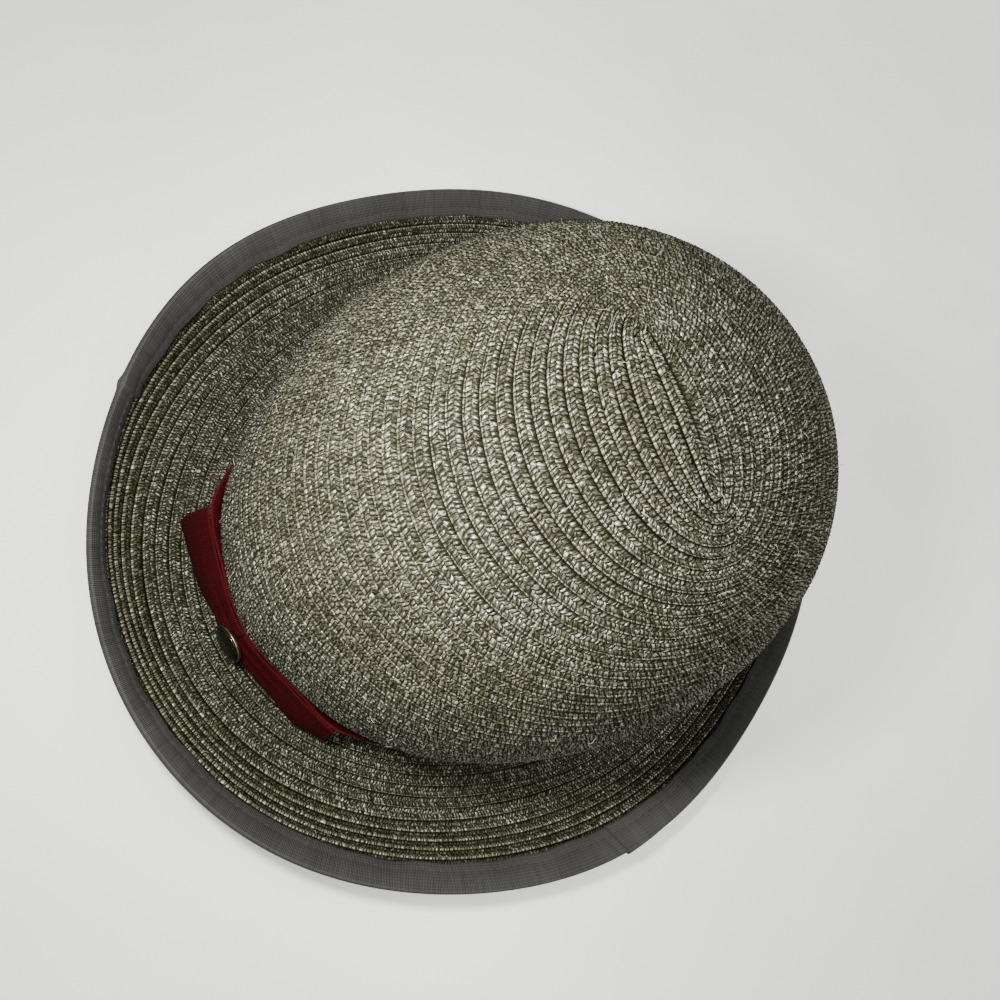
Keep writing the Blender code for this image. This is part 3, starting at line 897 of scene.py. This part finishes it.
# The bow's two wings, gathered under the button
bow = {
    "ribbon": 0.0240,
    "cloth": 0.0006,
    "turn": 95.0,               # degrees; the button holds both wings here
    "wing": 28.0,               # degrees round the crown
    "top": 0.0299,
    "out": 0.00195,             # from the crown's wall
    # at these shares of a wing's length: the width, and how far its upper edge and its foot stand off,
    # on the left wing and on the right, all in widths of the ribbon
    "along": (0.0, 0.25, 0.5, 0.75, 1.0),
    "width": (0.72, 0.88, 1.00, 1.08, 1.07),
    "topOff": ((0.0, 0.01, 0.02, 0.06, 0.145), (0.0, 0.01, 0.02, 0.04, 0.10)),
    "footOff": ((0.27, 0.28, 0.42, 0.53, 0.64), (0.27, 0.24, 0.27, 0.36, 0.36)),
    "belly": 0.05,
    "folds": ((3.3, 0.00050, 0.4), (6.1, 0.00024, 1.7)),       # folds across, depth and phase
    "foldReach": 0.30,          # share of the length over which they fade
    "foldStart": (12, 0.2),     # they are shallower right under the button: growth along, and the least share
    "foldTop": 4,               # and at the upper edge: growth down
    "wave": (0.0004, 9),        # height, and radians along a wing
    "rows": 120,
    "columns": 25,
    "edgeRound": 0.0002,
    "straightEnd": (0.006, 90, 0.02, 0.03),     # fray's depth, radians down, where it starts, and slope
    "roundEnd": (0.16, 0.55, 0.45, 2.4, 0.02),  # rounding's depth, start, length and power, and slope
    "gap": 0.0003,
}


def wingPoint(side, along, down, off):
    # the ribbon leans out from its upper edge to its foot, so its drop is the side of a triangle with the
    # width as the longest side. Belly, folds and a wave are sines; off moves it square to the crown
    lines = bow["width"], bow["topOff"][side > 0], bow["footOff"][side > 0]
    width, topOff, footOff = [np.interp(along, bow["along"], line) * bow["ribbon"] for line in lines]
    drop = np.sqrt(width ** 2 - (footOff - topOff) ** 2)
    belly = bow["belly"] * bow["ribbon"] * np.sin(np.pi * down)
    folds = sum(depth * np.sin(2 * np.pi * count * down + phase + side)
                for count, depth, phase in bow["folds"])
    growth, least = bow["foldStart"]
    folds = folds * np.exp(-along / bow["foldReach"]) * np.minimum(1, growth * along + least)
    folds = folds * np.minimum(1, bow["foldTop"] * down)
    waveHigh, waveCount = bow["wave"]
    wave = waveHigh * np.sin(along * waveCount + side) * along * down
    out = bow["out"] + topOff + (footOff - topOff) * down + belly + folds + wave + off
    halfGap = np.degrees(bow["gap"] / 2 / crown["halfLength"])
    turn = np.radians(bow["turn"] + side * (halfGap + along * bow["wing"]))
    return besideCrown(turn, out, bow["top"] - drop * down)


def makeWing(name, side, cut, node):
    # outer face, rounded edge, inner face and edge in one loop, carried from the button to the cut end
    rows, columns = bow["rows"], bow["columns"]
    share, down = np.meshgrid(np.linspace(0, 1, rows), np.linspace(0, 1, columns), indexing="ij")
    along = share * cut(down)
    outside = wingPoint(side, along, down, 0.0)
    inside = wingPoint(side, along, down, -bow["cloth"])
    edge = wingPoint(side, along[:, ::columns - 1], down[:, ::columns - 1], -bow["cloth"] / 2)
    edge[:, :, 2] += np.array([1, -1]) * bow["edgeRound"]
    points = np.concatenate([outside, edge[:, 1:], inside[:, ::-1], edge[:, :1]], 1)
    loop = points.shape[1]
    faces = gridFaces(rows, loop, closeColumns=True, turnOver=side > 0)
    # the ends are closed by strips between the outer and the inner face
    near = np.arange(columns - 1)
    mate = 2 * columns - near
    strip = np.stack([near, near + 1, mate - 1, mate], 1)
    corner = np.array([[columns - 1, columns, columns + 1], [0, 2 * columns, 2 * columns + 1]])
    base = (rows - 1) * loop
    over = strip[:, ::-1]
    caps = np.concatenate([over, strip + base] if side > 0 else [strip, over + base])
    tips = np.concatenate([corner, corner + base])
    steps = np.linalg.norm(np.diff(outside[:, columns // 2], axis=0), axis=1)
    far = np.concatenate([[0], np.cumsum(steps)]) / band["rib"]
    half = np.linspace(0, 1, columns)
    uv = weaveOf(far, np.concatenate([half, [1.0], half[::-1], [0.0]]))
    piece = meshObject(name, points.reshape(-1, 3), np.concatenate([faces, caps]), redRibbon, uv, tips)
    finishPiece(piece, "red_ribbon", node)
    print(name, len(piece.data.polygons) * 2, "triangles")


def straightCut(down):
    # the left wing's end: a slightly slanted line with a fine sine for its frayed threads
    fray, count, start, slope = bow["straightEnd"]
    return 1.0 + fray * np.sin(down * count) * (down > start) - slope * down


def roundCut(down):
    # the right wing's end: straight, then rounded back towards its foot by a power of the way down
    depth, start, length, power, slope = bow["roundEnd"]
    return 1.0 - depth * np.clip((down - start) / length, 0, 1) ** power + slope * down


# Round button and its thin ring, seated on the folds of the bow
button = {
    "radius": 0.0058,
    "thick": 0.0022,
    "dome": 0.0008,
    "domeShares": (0.08, 0.2, 0.35, 0.5, 0.64, 0.76, 0.86, 0.93, 0.97),     # of the radius
    "rimGroove": (0.00018, 0.72, 0.05),         # depth, place and half width as shares of the radius
    "edgeRound": 0.0002,
    "shoulder": 0.995,          # of the radius
    "underFlat": 0.4,
    "ringWall": 0.00035,
    "ringHigh": 0.0011,
    "ringSteps": 7,
    "gap": 0.0001,
    "seatGap": 0.0001,          # over the proudest fold
    "seatReach": 0.3,           # of the wings' length that is searched for it
    "seatGrid": (40, 60),
    "tilt": 25.0,               # degrees that its face looks up
    "steps": 72,
}


def buttonAxes():
    # the axis points out at the bow's turn and up by the tilt. The disc rests on the proudest fold under it:
    # the point of the cloth, inside the ring's radius, that reaches furthest along the axis
    middle = wingPoint(1, np.array(0.0), np.array(0.5), 0.0)
    turn, tilt = np.radians(bow["turn"]), np.radians(button["tilt"])
    axis = np.array([np.cos(turn) * np.cos(tilt), np.sin(turn) * np.cos(tilt), np.sin(tilt)])
    many, deep = button["seatGrid"]
    along = np.linspace(0, button["seatReach"], many)
    along, down = np.meshgrid(along, np.linspace(0, 1, deep), indexing="ij")
    cloth = np.concatenate([wingPoint(s, along, down, 0.0).reshape(-1, 3) for s in (-1, 1)]) - middle
    height = cloth @ axis
    under = np.linalg.norm(cloth - height[:, None] * axis, axis=1) < button["radius"] + button["ringWall"]
    return middle + axis * (height[under].max() + button["seatGap"]), axis


def turnedPiece(name, profile, finish, slot, node, closed):
    # a profile of radius and height turned round the axis; an open profile ends at the axis on both sides
    seat, axis = buttonAxes()
    aside = np.cross(axis, [0, 0, 1.0])
    aside = aside / np.linalg.norm(aside)
    over = np.cross(axis, aside)
    swing = np.linspace(0, 2 * np.pi, button["steps"], endpoint=False)[:, None, None]
    radius, high = np.array(profile).T
    ring = aside * np.cos(swing) + over * np.sin(swing)
    points = seat + ring * radius[None, :, None] + axis * high[None, :, None]
    count = len(profile)
    faces = gridFaces(button["steps"], count, True, closed)
    tips = ()
    points = points.reshape(-1, 3)
    if not closed:
        first = np.arange(button["steps"]) * count
        nextOne = np.roll(first, -1)
        poles = len(points) + np.array([0, 1])
        points = np.concatenate([points, [seat + axis * high[0], seat + axis * high[-1]]])
        tips = np.concatenate([np.stack([first, nextOne, 0 * first + poles[0]], 1),
                               np.stack([nextOne + count - 1, first + count - 1, 0 * first + poles[1]], 1)])
        tips = tips[:, ::-1]
    piece = meshObject(name, points, faces, finish, None, tips)
    finishPiece(piece, slot, node)
    print(name, len(piece.data.polygons) * 2, "triangles")


def makeButton():
    # the disc's face is a flat quarter ellipse with a bell pressed in for its groove, the ring's crest a
    # half circle
    radius, shoulder = button["radius"], button["thick"] - button["dome"]
    share = np.array(button["domeShares"])
    depth, place, half = button["rimGroove"]
    face = shoulder + button["dome"] * np.sqrt(1 - share ** 2) - depth * bell(share - place, half)
    soft = button["edgeRound"]
    edge = [(radius * button["shoulder"], shoulder), (radius, shoulder - soft), (radius, soft),
            (radius - soft, 0.0), (radius * button["underFlat"], 0.0)]
    profile = np.concatenate([np.stack([radius * share, face], 1), edge])
    turnedPiece("button_disc", profile, darkGloss, "dark_plastic", "button", False)
    inner = radius + button["gap"]
    half = button["ringWall"] / 2
    swing = np.linspace(0, np.pi, button["ringSteps"])
    high = button["ringHigh"] - half + half * np.sin(swing)
    crest = np.stack([inner + half - half * np.cos(swing), high], 1)
    profile = np.concatenate([crest, [(inner + button["ringWall"], 0.0), (inner, 0.0)]])
    turnedPiece("button_ring", profile, bronzeRing, "bronze", "button_rim", True)


def plainFinish(name, colour, roughness, metallic, scale, spread, gloss):
    # colour and roughness drift with one noise: the colour by its spread to both sides, the roughness from
    # 0.85 to 1.2 times itself
    n = Nodes(name)
    place = n.add("ShaderNodeTexCoord").outputs["Object"]
    cloud = n.noise(place, scale, 3.0)
    low = tuple(c * (1 - spread) for c in colour)
    high = tuple(min(c * (1 + spread), 1) for c in colour)
    n.put(n.shader.inputs["Base Color"], n.ramp(cloud, [(0.3, low), (0.7, high)]))
    rough = n.range(cloud, 0.3, 0.7, roughness * 0.85, min(roughness * 1.2, 1.0), False)
    n.put(n.shader.inputs["Roughness"], rough)
    n.shader.inputs["Metallic"].default_value = metallic
    n.shader.inputs["Specular IOR Level"].default_value = gloss
    return n.made


# Loose fibres that stand off the straw: short curved hairs
lint = {
    "crown": 240,
    "brim": 80,
    "crownRows": (0.3, 40),
    "brimRows": (3, 13),
    "length": (0.0012, 0.0044),
    "shortness": (2.2, 3),      # the higher, the fewer long ones: on the crown and on the brim
    "radius": 0.000042,
    "radiusLuck": 0.3,
    "taper": (1.0, 1.0, 0.95, 0.9, 0.8, 0.7, 0.4),
    "bend": (0.4, 1.5),
    "swing": 1.7,               # radians of the rise's sine, for a bend of 1
    "rise": 0.55,
    "fallBack": 0.25,
    "sideBend": 0.22,
    "rootHigh": 0.0001,
}


def hairPaths(surface, rounds, turns, lengths):
    # each hair starts on the surface and bends over: it rises by a sine of the way along it, its reach
    # falls back by a square of that way, and it bends aside by another square
    point, rowLevel = surface
    level, flip = rowLevel(rounds, turns)
    root = point(level, flip)
    square = facing(point, level, flip)
    aside = np.cross(square, chance.standard_normal(square.shape))
    aside = aside / np.linalg.norm(aside, axis=1, keepdims=True)
    share = np.linspace(0, 1, len(lint["taper"]))[None, :, None]
    bend = chance.uniform(*lint["bend"], (len(root), 1, 1))
    rise = np.sin(share * bend * lint["swing"]) / lint["swing"] * lint["rise"]
    reach = share - lint["fallBack"] * share ** 2 * bend
    sideBend = chance.normal(0, lint["sideBend"], (len(root), 1, 1))
    third = np.cross(square, aside)[:, None] * sideBend * share ** 2
    way = aside[:, None] * reach + square[:, None] * rise + third
    return root[:, None] + square[:, None] * lint["rootHigh"] + way * lengths[:, None, None]


def strewn(surface, many, rows, power):
    # hairs at places drawn by chance; a length is the least one plus a power of an even draw times the rest
    low, high = lint["length"]
    lengths = low + (high - low) * chance.random(many) ** power
    places = chance.uniform(*rows, many)
    return hairPaths(surface, places, chance.uniform(0, 2 * np.pi, many), lengths)


def makeFibres():
    # hairs on the crown and on the brim, as thin tapered tubes in one mesh
    onCrown, onBrim = lint["shortness"]
    crownHairs = strewn((crownPoint, crownRow), lint["crown"], lint["crownRows"], onCrown)
    brimHairs = strewn((brimPoint, brimRow), lint["brim"], lint["brimRows"], onBrim)
    paths = np.concatenate([crownHairs, brimHairs])
    luck = 1 + lint["radiusLuck"] * chance.random((len(paths), 1))
    piece = strokes("stray_fibres", paths, lint["radius"] * np.array(lint["taper"]) * luck, hairStraw)
    finishPiece(piece, "crown_braid", "crown")
    print("stray fibres", len(piece.data.polygons) * 2, "triangles")


greyRibbon = clothFinish("grey_grosgrain", colour=(0.043, 0.043, 0.041), ribs=30.0,
                         relief=0.00007, wear=0.12, gloss=0.10, valleyShade=0.45)
redRibbon = clothFinish("red_grosgrain", colour=(0.056, 0.0028, 0.0046), ribs=30.0,
                        relief=0.00010, wear=0.14, gloss=0.06, valleyShade=0.25)
# the stitch thread is darker than the ribbon: painted shade where the stitches sink into the cloth
stitchThreadAndShade = plainFinish("stitch_thread_and_shade", colour=(0.020, 0.020, 0.018), roughness=0.8,
                           metallic=0.0, scale=900.0, spread=0.3, gloss=0.1)
darkGloss = plainFinish("dark_button", colour=(0.005, 0.004, 0.003), roughness=0.16,
                        metallic=0.0, scale=300.0, spread=0.4, gloss=0.12)
bronzeRing = plainFinish("bronze_ring", colour=(0.26, 0.18, 0.10), roughness=0.34,
                         metallic=1.0, scale=500.0, spread=0.25, gloss=0.5)
hairStraw = plainFinish("loose_straw", colour=(0.20, 0.19, 0.14), roughness=0.5,
                        metallic=0.0, scale=400.0, spread=0.6, gloss=0.3)
makeBinding()
makeStitches()
makeBand()
makeWing("bow_left", -1, straightCut, "bow_wing_left")
makeWing("bow_right", 1, roundCut, "bow_wing_right")
makeButton()
makeFibres()

# Floor and light
room = {
    "floorHalf": 1.6,
    "floorColour": (0.86, 0.86, 0.85),
    "floorDark": (0.70, 0.70, 0.69),
    "floorCloud": (5.0, 4.0),   # scale and detail
    "floorRoughness": 0.6,
    "world": 0.45,
    "worldColour": (0.97, 0.98, 1.0, 1.0),
    "lampColour": (1.0, 0.985, 0.95),
    "lampAim": (0.0, 0.0, 0.05),
    "boxPlace": (-0.05, -0.35, 1.20),
    "boxPower": 26.0,
    "boxSize": 1.2,
    "flashOffset": (0.034, 0.016, -0.034),
    "flashPower": 1.3,
    "flashSize": 0.025,
}


def makeFloor():
    # a flat square grid at height zero, in a pale colour with faint clouds
    n = Nodes("floor")
    place = n.add("ShaderNodeTexCoord").outputs["Object"]
    cloud = n.noise(place, *room["floorCloud"])
    stops = [(0.3, room["floorDark"]), (0.7, room["floorColour"])]
    n.put(n.shader.inputs["Base Color"], n.ramp(cloud, stops))
    n.shader.inputs["Roughness"].default_value = room["floorRoughness"]
    half = room["floorHalf"]
    side = np.linspace(-half, half, 9)
    x, y = np.meshgrid(side, side, indexing="ij")
    points = np.stack([x, y, x * 0], -1).reshape(-1, 3)
    floor = meshObject("floor", points, gridFaces(9, 9), n.made)


def makeLamp(name, shape, size, power, place):
    # a flat lamp that looks at the hat's middle
    data = bpy.data.lights.new(name, "AREA")
    data.energy = power
    data.shape = shape
    data.size = size
    data.color = room["lampColour"]
    lamp = bpy.data.objects.new(name, data)
    bpy.context.scene.collection.objects.link(lamp)
    lamp.location = place
    lamp.rotation_mode = "QUATERNION"
    lamp.rotation_quaternion = (Vector(room["lampAim"]) - place).to_track_quat("-Z", "Y")


def makeLight():
    # an even pale surround, a large soft lamp over the hat and a small one beside the camera
    world = bpy.data.worlds.new("studio")
    bpy.context.scene.world = world
    world.use_nodes = True
    background = world.node_tree.nodes["Background"]
    background.inputs[0].default_value = room["worldColour"]
    background.inputs[1].default_value = room["world"]
    makeLamp("softbox", "SQUARE", room["boxSize"], room["boxPower"], Vector(room["boxPlace"]))
    place = Vector(view["place"]) + Vector(room["flashOffset"])
    makeLamp("flash", "DISK", room["flashSize"], room["flashPower"], place)


makeFloor()
makeLight()
print("floor and light set")
